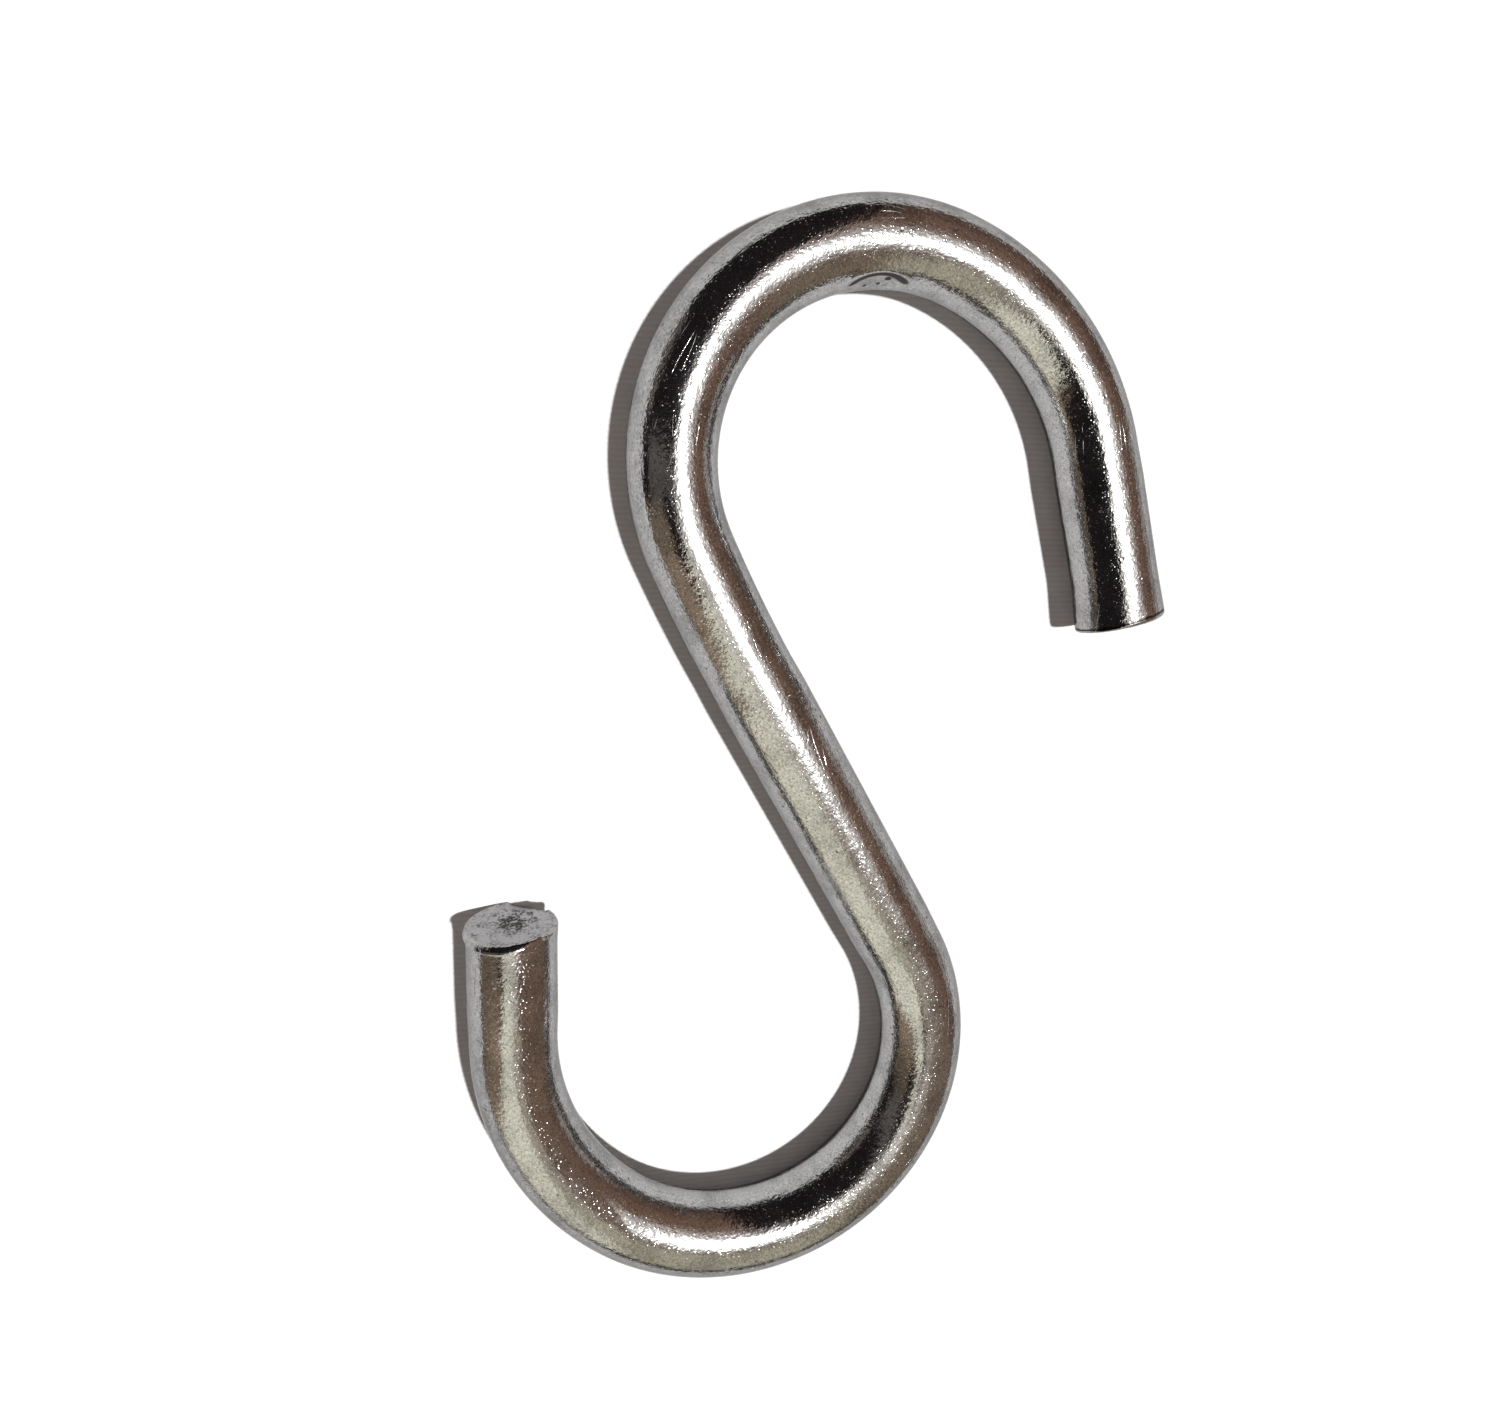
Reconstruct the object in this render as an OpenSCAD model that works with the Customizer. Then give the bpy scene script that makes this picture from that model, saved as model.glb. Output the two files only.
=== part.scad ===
// Open S hook, cold bent from one length of round steel bar and left lying on its side.
// X runs across the hook, Y along it with the upper hook at +Y, and Z up from the surface it lies on.
// The origin is under the middle of the hook's own box.

/* [Bar] */
// Diameter of the round bar
bar_d = 8; // [5:0.5:10]
// How much thinner the bar is where it was drawn round a bend
bend_thinning = 0.16; // [0.04:0.02:0.3]
// Length over which a straight tapers to the thinner bend
taper_len = 2.5; // [1:0.5:4]

/* [Shank] */
// Straight length between the two hooks
shank_len = 30.5; // [20:0.5:60]
// Lean of the shank from the Y axis, in degrees
shank_lean = 30; // [20:1:40]

/* [Upper hook] */
// Radius of the slight bend that eases the shank into the upper hook
ease_r = 140; // [60:5:200]
// Angle of that slight bend
ease_angle = 5; // [2:0.5:10]
// Radius of the main bend, to the middle of the bar
upper_bend_r = 18.7; // [14:0.1:26]
// Angle of the main bend
upper_bend_angle = 134; // [115:0.5:145]
// Radius where the hook opens out towards its free end
upper_lead_r = 23.5; // [18:0.5:32]
// Angle of the opened-out stretch
upper_lead_angle = 56.5; // [40:0.5:65]
// Straight length at the free end
upper_tip_len = 16.2; // [8:0.2:24]

/* [Lower hook] */
// Radius of the main bend, to the middle of the bar
lower_bend_r = 18.7; // [14:0.1:26]
// Angle of the main bend
lower_bend_angle = 156; // [135:0.5:165]
// Radius where the hook opens out towards its free end
lower_lead_r = 23; // [18:0.5:32]
// Angle of the opened-out stretch
lower_lead_angle = 54; // [40:0.5:62]
// Straight length at the free end
lower_tip_len = 10.75; // [6:0.05:20]

/* [Sheared ends] */
// How far the shear squeezed the upper end out towards the throat
upper_spread = 0.4; // [0.2:0.05:0.5]
// Length of the upper end that this spread takes up
upper_spread_len = 5; // [3:0.5:6]
// How far the shear squeezed the lower end out, away from the throat
lower_spread = 0.3; // [0.2:0.05:0.5]
// Length of the lower end that this spread takes up
lower_spread_len = 2; // [1.5:0.25:4]
// How far the shear squeezed both ends out on their other side
lesser_spread = 0.1; // [0.05:0.05:0.2]
// Radius that the shear blade rolls over the rim with
roll_r = 0.6; // [0.4:0.05:1]
// How far the rolled rim sits to the side where the blade entered
roll_shift = 0.35; // [0.25:0.05:0.45]
// Direction on the upper end's face that the blade entered from, in degrees
upper_blade_from = 150; // [0:5:355]
// Direction on the lower end's face that the blade entered from, in degrees
lower_blade_from = 115; // [0:5:355]
// Slant of the upper cut away from the throat, in degrees
upper_slant = 1; // [0:0.5:8]
// Lean of the upper cut towards the top of the bar, in degrees
upper_lean = 3; // [0:0.5:8]
// Slant of the lower cut away from the throat, in degrees
lower_slant = 6.5; // [0:0.5:8]
// Lean of the lower cut towards the top of the bar, in degrees
lower_lean = 8.5; // [2:0.5:14]
// Slant of the broken-off part of the lower face, in degrees
break_slant = 7; // [0:1:12]
// Distance of that broken-off part from the middle of the bar
break_offset = 2.3; // [1.5:0.1:2.8]
// Step down from the face to that broken-off part
break_drop = 0.15; // [0.1:0.05:0.3]

/* [Press mark] */
// Depth of the mark that a round tool left on the inside of the upper hook
mark_depth = 0.3; // [0.1:0.05:0.5]
// Radius of that tool
mark_tool_r = 6; // [4:0.5:9]
// Place of the mark along the main bend, in degrees from the shank
mark_angle = 110; // [60:1:114]
// Height of the mark above the middle of the bar, in degrees round the bar
mark_lift = 20; // [-40:5:40]

/* [Hidden] */
$fn = 60;

bar_r = bar_d / 2;
bend_bar_r = bar_r - bend_thinning / 2;
steel = [0.74, 0.74, 0.72];

// Both arms are drawn from the middle of the shank outwards, and bend to the right.
// A run of an arm is [radius, angle] for a bend or [0, length] for a straight.
half_shank = [0, shank_len / 2];
upper_runs = [
    half_shank,
    [ease_r, ease_angle],
    [upper_bend_r, upper_bend_angle],
    [upper_lead_r, upper_lead_angle],
    [0, upper_tip_len]
];
lower_runs = [
    half_shank,
    [lower_bend_r, lower_bend_angle],
    [lower_lead_r, lower_lead_angle],
    [0, lower_tip_len]
];

// Station [x, y, heading] after one run, with the heading in degrees to the right of the arm's start
function after(run, at) =
    run[0] == 0
    ? [at.x + run[1] * sin(at[2]), at.y + run[1] * cos(at[2]), at[2]]
    : [at.x + run[0] * (cos(at[2]) - cos(at[2] + run[1])),
       at.y + run[0] * (sin(at[2] + run[1]) - sin(at[2])),
       at[2] + run[1]];
function station(runs, i) = i == 0 ? [0, 0, 0] : after(runs[i - 1], station(runs, i - 1));

// Points along both flanks of an arm, turned as the arm lies in the hook
flank_steps = 60;
function turned(p, a) = [p.x * cos(a) - p.y * sin(a), p.x * sin(a) + p.y * cos(a)];
function flank(runs, a) = [
    for (i = [0 : len(runs) - 1], k = [0 : flank_steps], side = [-1, 1])
        let (
            at = after([runs[i][0], runs[i][1] * k / flank_steps], station(runs, i)),
            reach = side * (runs[i][0] == 0 ? bar_r : bend_bar_r)
        )
            turned([at.x + reach * cos(at[2]), at.y - reach * sin(at[2])], a)
];
outline = concat(flank(upper_runs, shank_lean), flank(lower_runs, shank_lean + 180));
middle_x = (max([for (p = outline) p.x]) + min([for (p = outline) p.x])) / 2;
middle_y = (max([for (p = outline) p.y]) + min([for (p = outline) p.y])) / 2;

// Centre of run i of an arm, which is a bend
function bend_centre(runs, i) =
    let (at = station(runs, i))
        [at.x + runs[i][0] * cos(at[2]), at.y - runs[i][0] * sin(at[2])];

// A straight runs this far into its bends, thinner than them by a hair, and so joins them
joint_len = 0.4;
joint_gap = 0.01;
joint_r = bend_bar_r - joint_gap;

// The shear left its ends this much flatter than the bar, top and bottom
squeeze = 0.05;

// The shear's rolled rim clears the bar by roll_gap on its deep side and opens out by roll_flare
roll_gap = 0.05;
roll_flare = 15;
cap_r = bar_r + roll_gap + roll_shift;

// Moves children by whole microns and then by the rest, so that neighbouring bends meet face to face
module place(p) {
    whole = [round(p.x * 1000) / 1000, round(p.y * 1000) / 1000];
    translate([whole.x, whole.y, 0])
        translate([p.x - whole.x, p.y - whole.y, 0])
            children();
}

// Puts children at the start of run i of an arm, with Y along the run
module at_run(runs, i) {
    at = station(runs, i);
    place(at)
        rotate([0, 0, -at[2]])
            children();
}

// The run of an arm that is bend i
module bend(runs, i) {
    radius = runs[i][0];
    angle = runs[i][1];
    place(bend_centre(runs, i))
        rotate_extrude(angle = angle, start = 180 - station(runs, i)[2] - angle)
            translate([radius, 0])
                circle(r = bend_bar_r);
}

// Where a straight narrows to the bend that it leads into, from the origin along Y
module taper() {
    rotate([-90, 0, 0]) {
        cylinder(h = taper_len, r1 = bar_r, r2 = joint_r);
        cylinder(h = taper_len + joint_len, r = joint_r);
    }
}

// The middle of the hook
module shank() {
    plain = shank_len / 2 - taper_len;
    for (turn = [0, 180])
        rotate([0, 0, turn]) {
            rotate([-90, 0, 0])
                cylinder(h = plain, r = bar_r);
            translate([0, plain, 0])
                taper();
        }
}

// Cross-section of what the rolled rim takes off the corner between the cut face and the flare
module rim_waste() {
    setback = roll_r / tan((90 + roll_flare) / 2);
    difference() {
        polygon([
            [cap_r - setback, -roll_gap],
            [cap_r + roll_r, -roll_gap],
            [cap_r + roll_r, setback * cos(roll_flare)],
            [cap_r + setback * sin(roll_flare), setback * cos(roll_flare)],
            [cap_r - setback, 0]
        ]);
        translate([cap_r - setback, roll_r])
            circle(r = roll_r);
    }
}

// What the shear leaves of a bar that ends at the origin: a flat face with its rim rolled over
module shear_cap(depth) {
    rotate([90, 0, 0])
        rotate_extrude()
            difference() {
                polygon([
                    [0, 0],
                    [cap_r, 0],
                    [cap_r + depth * tan(roll_flare), depth],
                    [0, depth]
                ]);
                rim_waste();
            }
}

// The end of a bar of this length, which the shear spread by [left, right]
module spread_end(length, spread, spread_len) {
    past_cut = bar_r / 2;
    for (side = [0, 1])
        translate([0, length - spread_len, 0])
            rotate([0, 0, (1 - 2 * side) * atan((spread[side] + squeeze) / spread_len)])
                rotate([-90, 0, 0])
                    cylinder(h = spread_len + past_cut, r = bar_r - squeeze);
}

// A straight at a free end, before the shear cut it to length
module tip_bar(length) {
    translate([0, taper_len, 0]) {
        rotate([0, 0, 180])
            taper();
        rotate([-90, 0, 0])
            cylinder(h = length, r = bar_r);
    }
}

// Cuts children off aslant at this length, by [slant sideways, lean upwards]
module shear_off(length, slant, blade_from) {
    intersection() {
        union()
            children();
        translate([0, length, 0])
            rotate([slant[1], 0, slant[0]])
                translate([-roll_shift * cos(blade_from), 0, -roll_shift * sin(blade_from)])
                    shear_cap(length + bar_d);
    }
}

module upper_tip() {
    shear_off(upper_tip_len, [-upper_slant, upper_lean], upper_blade_from) {
        tip_bar(upper_tip_len);
        spread_end(upper_tip_len, [lesser_spread, upper_spread], upper_spread_len);
    }
}

module lower_tip() {
    difference() {
        shear_off(lower_tip_len, [lower_slant, lower_lean], lower_blade_from) {
            tip_bar(lower_tip_len);
            spread_end(lower_tip_len, [lower_spread, lesser_spread], lower_spread_len);
        }
        broken_corner();
    }
}

// The part of the lower face that broke away lower than the cut
module broken_corner() {
    translate([break_offset, lower_tip_len - break_drop, 0])
        rotate([lower_lean, 0, -break_slant])
            translate([0, 0, -bar_d])
                cube([bar_d, bar_d, 2 * bar_d]);
}

// The round tool that left its mark on the inside of the upper hook
module mark_tool(runs, i) {
    radius = runs[i][0];
    tool_at = bend_bar_r + mark_tool_r - mark_depth;
    place(bend_centre(runs, i))
        rotate([0, 0, 180 - station(runs, i)[2] - mark_angle])
            translate([radius, 0, 0])
                rotate([0, mark_lift, 0])
                    translate([-tool_at, 0, 0])
                        sphere(r = mark_tool_r);
}

module upper_arm() {
    difference() {
        for (i = [1 : 3])
            bend(upper_runs, i);
        mark_tool(upper_runs, 2);
    }
    at_run(upper_runs, 4)
        upper_tip();
}

module lower_arm() {
    bend(lower_runs, 1);
    bend(lower_runs, 2);
    at_run(lower_runs, 3)
        lower_tip();
}

module s_hook() {
    color(steel)
        translate([-middle_x, -middle_y, bar_r])
            rotate([0, 0, shank_lean])
                union() {
                    shank();
                    upper_arm();
                    rotate([0, 0, 180])
                        lower_arm();
                }
}

s_hook();
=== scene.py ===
"""An open S hook of bright zinc-plated round bar, lying on a pale floor."""

import logging
from dataclasses import dataclass, field
from enum import Enum
from math import atan2, cos, exp, pi, radians, sin, sqrt, tan

import bmesh
import bpy
from mathutils import Matrix, Vector, noise
from mathutils.kdtree import KDTree


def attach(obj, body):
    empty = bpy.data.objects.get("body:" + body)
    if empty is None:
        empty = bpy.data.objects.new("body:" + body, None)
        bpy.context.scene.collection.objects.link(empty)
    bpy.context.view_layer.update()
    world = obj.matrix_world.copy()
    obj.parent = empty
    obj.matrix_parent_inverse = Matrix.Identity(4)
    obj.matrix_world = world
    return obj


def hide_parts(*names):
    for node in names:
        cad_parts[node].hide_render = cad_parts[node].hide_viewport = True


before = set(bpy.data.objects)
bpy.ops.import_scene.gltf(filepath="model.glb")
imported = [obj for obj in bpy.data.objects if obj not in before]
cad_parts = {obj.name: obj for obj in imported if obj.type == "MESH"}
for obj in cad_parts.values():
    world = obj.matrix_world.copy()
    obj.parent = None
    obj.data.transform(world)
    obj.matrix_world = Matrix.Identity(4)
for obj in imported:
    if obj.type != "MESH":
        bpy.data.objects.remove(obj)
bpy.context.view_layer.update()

MM = 0.001
LOG = logging.getLogger("s_hook")


class Turn(Enum):
    """Which way the bar goes on along a run, seen from above."""

    STRAIGHT = 0
    LEFT = 1
    RIGHT = -1


@dataclass(frozen=True)
class Run:
    """One stretch of the bar between two places where its bend changes.

    Args:
        turn: Straight on, or a bend to the left or right.
        size: Length of a straight, or radius of a bend to the middle of the bar, in metres.
        angle: Angle of a bend, in degrees.
        steps: How many rings of the mesh the run gets.
    """

    turn: Turn
    size: float
    angle: float = 0.0
    steps: int = 1

    @property
    def length(self) -> float:
        """Length along the middle of the bar, in metres."""
        return self.size if self.turn is Turn.STRAIGHT else self.size * radians(self.angle)


@dataclass(frozen=True)
class Station:
    """A place on the middle line of the bar.

    Args:
        x: Place along X, in metres.
        y: Place along Y, in metres.
        heading: Direction of travel from +X, in radians.
    """

    x: float
    y: float
    heading: float

    def forward(self) -> Vector:
        """Unit vector of travel."""
        return Vector((cos(self.heading), sin(self.heading), 0.0))

    def left(self) -> Vector:
        """Unit vector to the left of travel."""
        return Vector((-sin(self.heading), cos(self.heading), 0.0))

    def point(self, height: float) -> Vector:
        """The station in space, at this height over the floor."""
        return Vector((self.x, self.y, height))

    def centre(self, run: Run) -> Vector:
        """Centre of the bend that starts here, on the floor."""
        return self.point(0.0) + self.left() * (run.size * run.turn.value)

    def after(self, run: Run, share: float = 1.0) -> "Station":
        """The station at the end of a run, or at a share of it.

        Args:
            run: The run that starts here.
            share: How much of the run is walked, from 0 to 1.

        Returns:
            The station reached.
        """
        if run.turn is Turn.STRAIGHT:
            end = self.point(0.0) + self.forward() * (run.size * share)
            return Station(end.x, end.y, self.heading)
        swing = radians(run.angle) * share * run.turn.value
        hub = self.centre(run)
        arm = self.point(0.0) - hub
        end = hub + Matrix.Rotation(swing, 3, "Z") @ arm
        return Station(end.x, end.y, self.heading + swing)


@dataclass(frozen=True)
class ShearedEnd:
    """How the shear left one free end. Sideways is to the right of the way out along the bar.

    Args:
        zone: Length of bar whose rings follow the cut, in metres.
        spread_left: How far the end was squeezed out on its left, in metres.
        spread_right: The same on its right.
        spread_len: Length that the spread takes up, in metres.
        slant: Rise of the face towards its right, in degrees.
        lean: Lean of the face towards the top of the bar, in degrees.
        roll: Radius of the rim where the blade entered, in metres.
        blade_from: Direction on the face that the blade came from, in degrees.
        rim: Radius of the rim elsewhere, in metres.
        break_from: Where to the right the broken part starts, in metres, or None for a whole face.
        break_drop: Step down to the broken part, in metres.
        break_slant: Fall of the broken part to the right, in degrees.
        tear: Height of the torn grain on the face, in metres.
        face_fade: Width over which the rolled rim turns into cut face, in metres.
        core_middle: Middle of the torn core, across and up, in metres.
        core_narrow: How much narrower the torn core is than it is high.
        chip: A chipped place at the rim, as its middle across and up, its half width and half
            height, and its depth, in metres.
        burr_shade: How dark the painted shade line just behind the rim is, from 0 to 1.
        burr_back: How far behind the rim that painted shade line runs, in metres.
        burr_width: Half its width, in metres.
    """

    zone: float
    spread_left: float
    spread_right: float
    spread_len: float
    slant: float
    lean: float
    roll: float
    blade_from: float
    rim: float = 0.09 * MM
    break_from: float | None = None
    break_drop: float = 0.0
    break_slant: float = 0.0
    tear: float = 0.05 * MM
    chip: tuple[float, float, float, float, float] | None = None
    burr_shade: float = 0.0
    burr_back: float = 0.1 * MM
    burr_width: float = 0.13 * MM
    face_fade: float = 0.1 * MM
    core_middle: tuple[float, float] = (0.4 * MM, -0.7 * MM)
    core_narrow: float = 1.3

    def rim_radius(self, angle: float) -> float:
        """Radius that the rim is rolled over with, at an angle round the face in radians."""
        facing = max(0.0, cos(angle - radians(self.blade_from)))
        return self.rim + (self.roll - self.rim) * facing**0.8

    def face(self, across: float, up: float) -> float:
        """Height of the cut face over the square cut, in metres.

        Args:
            across: Place to the right of the bar's middle, in metres.
            up: Place above the bar's middle, in metres.

        Returns:
            How far out the face lies there.
        """
        height = tan(radians(self.slant)) * across - tan(radians(self.lean)) * up
        if self.break_from is not None:
            ragged = 0.25 * MM * noise.noise(Vector((0.0, up / (1.3 * MM), 4.0)))
            past = across - self.break_from - ragged
            if past > 0.0:
                fall = tan(radians(self.slant + self.break_slant)) * past
                edge = min(1.0, past / (0.12 * MM))
                height -= self.break_drop * edge + fall
        if self.chip is not None:
            mid_across, mid_up, half_width, half_height, depth = self.chip
            away = ((across - mid_across) / half_width) ** 2 + ((up - mid_up) / half_height) ** 2
            height -= depth * max(0.0, 1.0 - away) ** 0.7
        return height

    def torn(self, across: float, up: float, inside: float) -> float:
        """Height of the torn grain at a place on the face, fading out towards the rim.

        Args:
            across: Place to the right of the bar's middle, in metres.
            up: Place above the bar's middle, in metres.
            inside: Distance in from the bar's wall, in metres.

        Returns:
            The height, in metres.
        """
        place = Vector((across, up, 0.0))
        coarse = noise.fractal(place / (0.9 * MM), 0.9, 2.0, 4)
        fine = noise.fractal(place / (0.28 * MM) + Vector((7.0, 3.0, 1.0)), 0.8, 2.0, 3)
        return self.tear * (0.7 * coarse + 0.4 * fine) * min(1.0, inside / (0.5 * MM))

    def face_share(self, inside: float, rim: float) -> float:
        """How far a place is cut face, from 0 on the rolled rim to 1 well inside it."""
        return min(1.0, max(0.0, (inside - 0.75 * rim) / self.face_fade))

    def core_share(self, across: float, up: float, bar_r: float) -> float:
        """How far a place on the face belongs to its torn core.

        Args:
            across: Place to the right of the bar's middle, in metres.
            up: Place above the bar's middle, in metres.
            bar_r: Radius of the bar, in metres.

        Returns:
            The share, from 0 to 1.
        """
        mid_across, mid_up = self.core_middle
        off = Vector((self.core_narrow * across - mid_across, up - mid_up)).length / bar_r
        return min(1.0, max(0.0, 1.35 - 1.7 * off))

    def burr_shade_share(self, angle: float, behind: float) -> float:
        """How dark the painted shade line behind the burr is on the wall of the bar.

        Args:
            angle: Angle round the bar, in radians.
            behind: Distance behind the rim, in metres.

        Returns:
            The darkness, from 0 to 1.
        """
        ragged = 0.12 * MM * noise.noise(Vector((angle * 5.0, 0.0, 2.0)))
        off = (behind - self.burr_back - ragged) / self.burr_width
        return self.burr_shade * exp(-off * off)


@dataclass(frozen=True)
class PressMark:
    """The dent that a round bending tool left on the inside of the upper hook.

    Args:
        tool_r: Radius of the tool, in metres.
        depth: How deep it went, in metres.
        along: Place along the main bend from the shank, in degrees.
        lift: Height above the middle of the bar, in degrees round the bar.
        lip: Height of the raised edge round the dent, in metres.
        lip_width: How far out the raised edge reaches, in metres.
        groove: Depth of the sharp groove along the upper edge of the dent, in metres.
        groove_width: Half the width of the crease, in metres.
        pits: Small pits in the dent, each as its place along and up from the middle and its
            radius, in metres. Painted shade darkens them and the groove.
    """

    tool_r: float = 6.0 * MM
    depth: float = 0.3 * MM
    along: float = 110.0
    lift: float = 20.0
    lip: float = 0.035 * MM
    lip_width: float = 0.3 * MM
    groove: float = 0.07 * MM
    groove_width: float = 0.13 * MM
    pits: tuple[tuple[float, float, float], ...] = (
        (0.85 * MM, 0.3 * MM, 0.3 * MM),
        (0.25 * MM, -0.5 * MM, 0.2 * MM),
        (-0.9 * MM, -0.6 * MM, 0.15 * MM),
    )


@dataclass
class BarHook:
    """The whole hook: one round bar, bent and sheared, made as one closed mesh.

    Args:
        bar_r: Radius of the bar, in metres.
        bend_bar_r: Radius of the bar in its bends, where bending drew it thinner.
        taper_steps: Rings of the mesh in a taper between the two.
        taper_len: Length of such a taper.
        shank_len: Length of the straight shank.
        shank_lean: Lean of the shank from upright, in degrees.
        shank_middle: Place of the shank's middle.
        sides: Points round the bar.
        skin: How much thinner the mesh is than the CAD solid, so that it stays inside it.
        upper_tip: Length of the upper hook's straight free end.
        upper_lead: Radius, and angle in degrees, of the stretch where the upper hook opens out.
        upper_main: Radius and angle of its main bend.
        ease: Radius and angle of the slight bend between the main bend and the shank.
        lower_main: Radius and angle of the lower hook's main bend.
        lower_lead: Radius and angle of the stretch where the lower hook opens out.
        lower_tip: Length of its straight free end.
        upper_end: How the upper free end was sheared.
        lower_end: How the lower free end was sheared.
        mark: The dent inside the upper hook.
        mark_from: Angle along the upper main bend where the mesh gets finer for the dent.
        mark_angle: Angle of that finer stretch, in degrees.
        rim_rings: How far in from the wall an end's first rings lie, in millimetres.
        face_rings: Where its inner rings start and their spacing, in millimetres, and their number.
    """

    bar_r: float = 4.0 * MM
    bend_bar_r: float = 3.92 * MM
    taper_steps: int = 5
    taper_len: float = 2.5 * MM
    shank_len: float = 30.5 * MM
    shank_lean: float = 30.0
    shank_middle: tuple[float, float] = (0.12064 * MM, -4.69139 * MM)
    sides: int = 176
    skin: float = 0.008 * MM
    upper_tip: float = 16.2 * MM
    upper_lead: tuple[float, float] = (23.5 * MM, 56.5)
    upper_main: tuple[float, float] = (18.7 * MM, 134.0)
    ease: tuple[float, float] = (140.0 * MM, 5.0)
    lower_main: tuple[float, float] = (18.7 * MM, 156.0)
    lower_lead: tuple[float, float] = (23.0 * MM, 54.0)
    lower_tip: float = 10.75 * MM
    upper_end: ShearedEnd = field(
        default_factory=lambda: ShearedEnd(
            zone=5.0 * MM,
            spread_left=0.1 * MM,
            spread_right=0.4 * MM,
            spread_len=5.0 * MM,
            slant=-1.0,
            lean=3.0,
            roll=0.5 * MM,
            blade_from=150.0,
            rim=0.2 * MM,
            # Painted shade: a dark line behind this end's rim.
            burr_shade=0.85,
        )
    )
    lower_end: ShearedEnd = field(
        default_factory=lambda: ShearedEnd(
            zone=3.0 * MM,
            spread_left=0.225 * MM,
            spread_right=0.08 * MM,
            spread_len=2.2 * MM,
            slant=6.5,
            lean=8.5,
            roll=0.66 * MM,
            blade_from=115.0,
            chip=(2.2 * MM, -3.5 * MM, 2.3 * MM, 1.7 * MM, 0.75 * MM),
            break_from=2.3 * MM,
            break_drop=0.12 * MM,
            break_slant=7.0,
        )
    )
    mark: PressMark = PressMark()
    mark_from: float = 10.0
    mark_angle: float = 24.0
    rim_rings: tuple[float, ...] = (
        *(0.004, 0.015, 0.035, 0.06, 0.1, 0.16),
        *(0.24, 0.34, 0.46, 0.6, 0.78, 0.98),
    )
    face_rings: tuple[float, float, int] = (1.2, 0.2, 14)

    def runs(self) -> list[Run]:
        """Lists the runs of the bar.

        Returns:
            The runs, from the upper free end to the lower one.
        """
        upper_r, upper_angle = self.upper_main
        before, fine = self.mark_from, self.mark_angle
        return [
            Run(Turn.STRAIGHT, self.upper_end.zone, steps=42),
            Run(Turn.STRAIGHT, self.upper_tip - self.upper_end.zone - self.taper_len, steps=9),
            Run(Turn.STRAIGHT, self.taper_len, steps=self.taper_steps),
            Run(Turn.LEFT, *self.upper_lead, steps=40),
            Run(Turn.LEFT, upper_r, before, steps=6),
            Run(Turn.LEFT, upper_r, fine, steps=70),
            Run(Turn.LEFT, upper_r, upper_angle - before - fine, steps=54),
            Run(Turn.LEFT, *self.ease, steps=10),
            Run(Turn.STRAIGHT, self.taper_len, steps=self.taper_steps),
            Run(Turn.STRAIGHT, self.shank_len - 2 * self.taper_len, steps=18),
            Run(Turn.STRAIGHT, self.taper_len, steps=self.taper_steps),
            Run(Turn.RIGHT, *self.lower_main, steps=90),
            Run(Turn.RIGHT, *self.lower_lead, steps=38),
            Run(Turn.STRAIGHT, self.taper_len, steps=self.taper_steps),
            Run(Turn.STRAIGHT, self.lower_tip - self.lower_end.zone - self.taper_len, steps=6),
            Run(Turn.STRAIGHT, self.lower_end.zone, steps=20),
        ]

    def upper_bend_start(self) -> Station:
        """Walks from the shank's middle to where the upper main bend starts.

        Returns:
            The station there, facing out towards the upper free end.
        """
        out = Station(*self.shank_middle, radians(90.0 + self.shank_lean))
        out = out.after(Run(Turn.STRAIGHT, self.shank_len / 2))
        return out.after(Run(Turn.RIGHT, *self.ease))

    def first_station(self) -> Station:
        """Walks out to the upper free end.

        Returns:
            The station in the middle of that end, facing into the bar.
        """
        out = self.upper_bend_start()
        arm = [
            Run(Turn.RIGHT, *self.upper_main),
            Run(Turn.RIGHT, *self.upper_lead),
            Run(Turn.STRAIGHT, self.upper_tip),
        ]
        for run in arm:
            out = out.after(run)
        return Station(out.x, out.y, out.heading + pi)

    def build(self) -> bpy.types.Object:
        """Makes the hook's mesh and its surface coordinates.

        Returns:
            The hook, at the origin, with smooth faces.
        """
        mesh = bpy.data.meshes.new("hook_bar")
        piece = bpy.data.objects.new("hook_bar", mesh)
        bpy.context.scene.collection.objects.link(piece)
        bpy.ops.object.select_all(action="DESELECT")
        piece.select_set(True)
        bpy.context.view_layer.objects.active = piece
        bpy.ops.object.mode_set(mode="EDIT")
        stations = self._sweep()
        self._close(stations[0])
        self._close(stations[-1])
        bpy.ops.mesh.select_all(action="SELECT")
        bpy.ops.mesh.remove_doubles(threshold=1e-7)
        bpy.ops.mesh.normals_make_consistent(inside=False)
        bpy.ops.object.mode_set(mode="OBJECT")
        self._unroll(piece, stations)
        self._shape_end(piece, stations[0], self.upper_end, -1.0)
        self._shape_end(piece, stations[-1], self.lower_end, 1.0)
        self._press(piece)
        bpy.ops.object.mode_set(mode="EDIT")
        bpy.ops.mesh.select_all(action="SELECT")
        bpy.ops.transform.shrink_fatten(value=-self.skin)
        bpy.ops.object.mode_set(mode="OBJECT")
        bpy.ops.object.shade_smooth()
        return piece

    def _sweep(self) -> list[Station]:
        """Draws the bar's wall ring by ring along all its runs.

        Returns:
            The stations between the runs, from the upper end to the lower one.
        """
        here = self.first_station()
        stations = [here]
        bpy.ops.mesh.primitive_circle_add(
            vertices=self.sides,
            radius=self.bar_r,
            location=here.point(self.bar_r),
            rotation=(radians(90.0), 0.0, here.heading + radians(90.0)),
            fill_type="NOTHING",
        )
        runs = self.runs()
        for k, run in enumerate(runs):
            if run.turn is Turn.STRAIGHT:
                thinner = self._grows(runs, k)
                self._straight(here, run, thinner)
            else:
                self._bend(here, run)
            here = here.after(run)
            stations.append(here)
        return stations

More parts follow.
